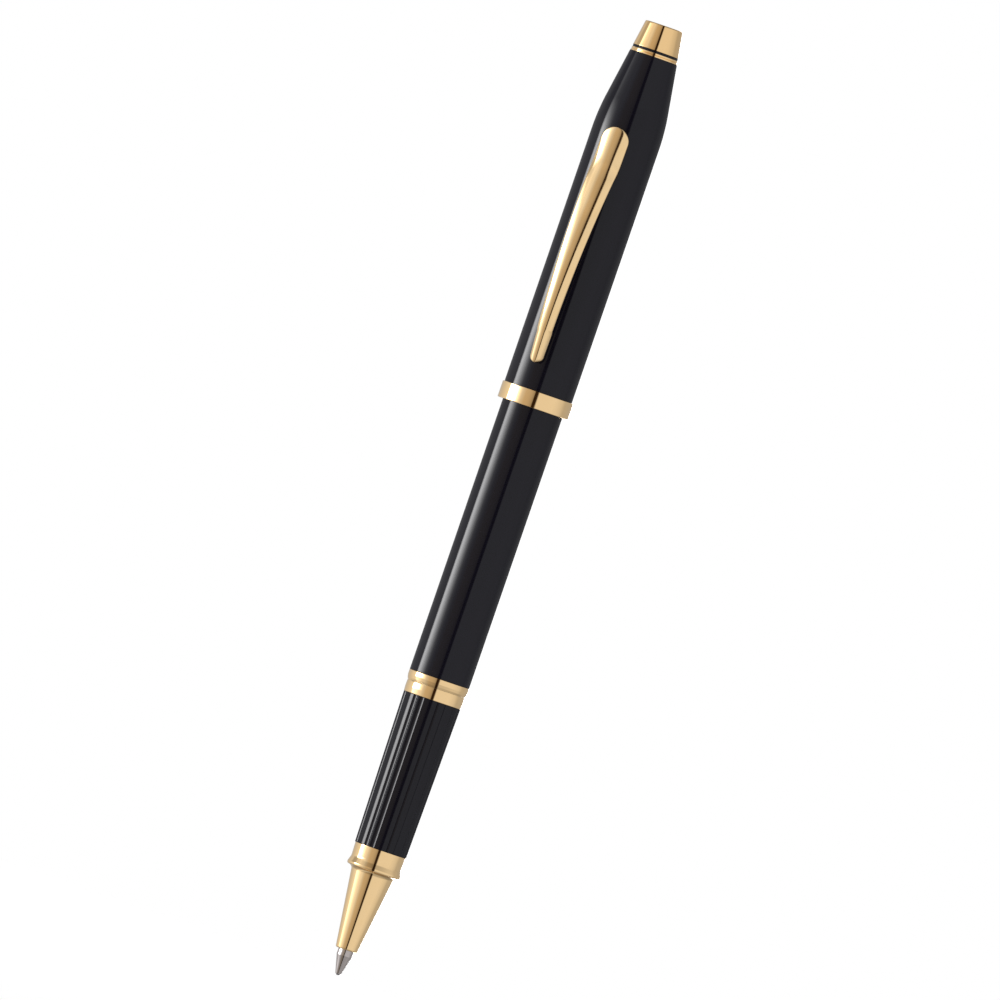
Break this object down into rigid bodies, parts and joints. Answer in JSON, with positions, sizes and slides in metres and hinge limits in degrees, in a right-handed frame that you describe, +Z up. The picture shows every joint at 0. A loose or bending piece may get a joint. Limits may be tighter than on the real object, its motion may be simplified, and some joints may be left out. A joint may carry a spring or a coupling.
{
  "type": "rollerball pen",
  "caption": "Slim black rollerball pen with gold trim, posted cap with pocket clip, fluted grip and screw-off section over a spring-seated refill.",
  "frame": {"origin": "the writing point, where the ball touches the paper, on the pen's axis", "axes": "+Z up the pen's axis from the point to the crown, -Y the way the pocket clip faces, +X across"},
  "size_m": [0.0112, 0.0144, 0.15],
  "materials": {
    "barrel_lacquer": "polished black lacquer on brass tube",
    "cap_lacquer": "polished black lacquer on brass tube",
    "tail_lacquer": "polished black lacquer",
    "grip_black": "moulded gloss black",
    "groove_black": "gloss black",
    "gold_plate": "polished gold plate",
    "nose_gold": "polished gold plate",
    "clip_gold": "polished gold plate",
    "crown_gold": "polished gold plate",
    "brass": "turned",
    "spring_brass": "rolled strip",
    "spring_steel": "drawn wire",
    "point_steel": "turned",
    "stud_steel": "rolled thread",
    "ball_carbide": "ground",
    "refill_plastic": "moulded",
    "inner_cap_plastic": "moulded",
    "ink": "liquid",
    "grease": "translucent grease"
  },
  "bodies": {
    "barrel": {"barrel_tube": "barrel_lacquer", "barrel_ring": "gold_plate", "barrel_bush": "brass", "barrel_tail": "tail_lacquer", "refill_spring": "spring_steel"},
    "refill": {"refill_tube": "refill_plastic", "refill_nose": "refill_plastic", "refill_point": "point_steel", "refill_ink": "ink", "refill_follower": "grease", "refill_plug": "refill_plastic"},
    "ball": {"refill_ball": "ball_carbide"},
    "section": {"nose_cone": "nose_gold", "grip": "grip_black", "section_sleeve": "brass", "section_ring": "gold_plate"},
    "inner_cap": {"inner_cap": "inner_cap_plastic"},
    "cap": {"cap_tube": "cap_lacquer", "lip_ring": "gold_plate", "clip_plate": "spring_brass", "crown": "crown_gold", "crown_spacer": "groove_black", "crown_ring": "gold_plate", "crown_stud": "stud_steel", "crown_nut": "brass"},
    "clip": {"clip": "clip_gold"}
  },
  "joints": [
    {"name": "section_screw", "type": "slide", "parent": "barrel", "child": "refill", "axis": [0, 0, -1], "range_m": [0, 0.007], "deforming": ["refill_spring"]},
    {"name": "section_turn", "type": "hinge", "parent": "refill", "child": "section", "pos_m": [0, 0, 0.045], "axis": [0, 0, 1], "range_deg": [0, 3360]},
    {"name": "ball_roll", "type": "hinge", "parent": "refill", "child": "ball", "pos_m": [0, 0, 0.00035], "axis": [1, 0, 0], "continuous": true},
    {"name": "cap_pull", "type": "slide", "parent": "barrel", "child": "inner_cap", "axis": [0, 0, 1], "range_m": [0, 0.036]},
    {"name": "cap_turn", "type": "hinge", "parent": "inner_cap", "child": "cap", "pos_m": [0, 0, 0.12], "axis": [0, 0, 1], "continuous": true},
    {"name": "clip_flex", "type": "hinge", "parent": "cap", "child": "clip", "pos_m": [0, -0.0053, 0.13335], "axis": [-1, 0, 0], "range_deg": [0, 4], "stiffness_Nm_per_rad": 0.25}
  ],
  "couplings": [
    {"joint": "section_turn", "follows": "section_screw", "rad_per_m": 8377.6}
  ]
}
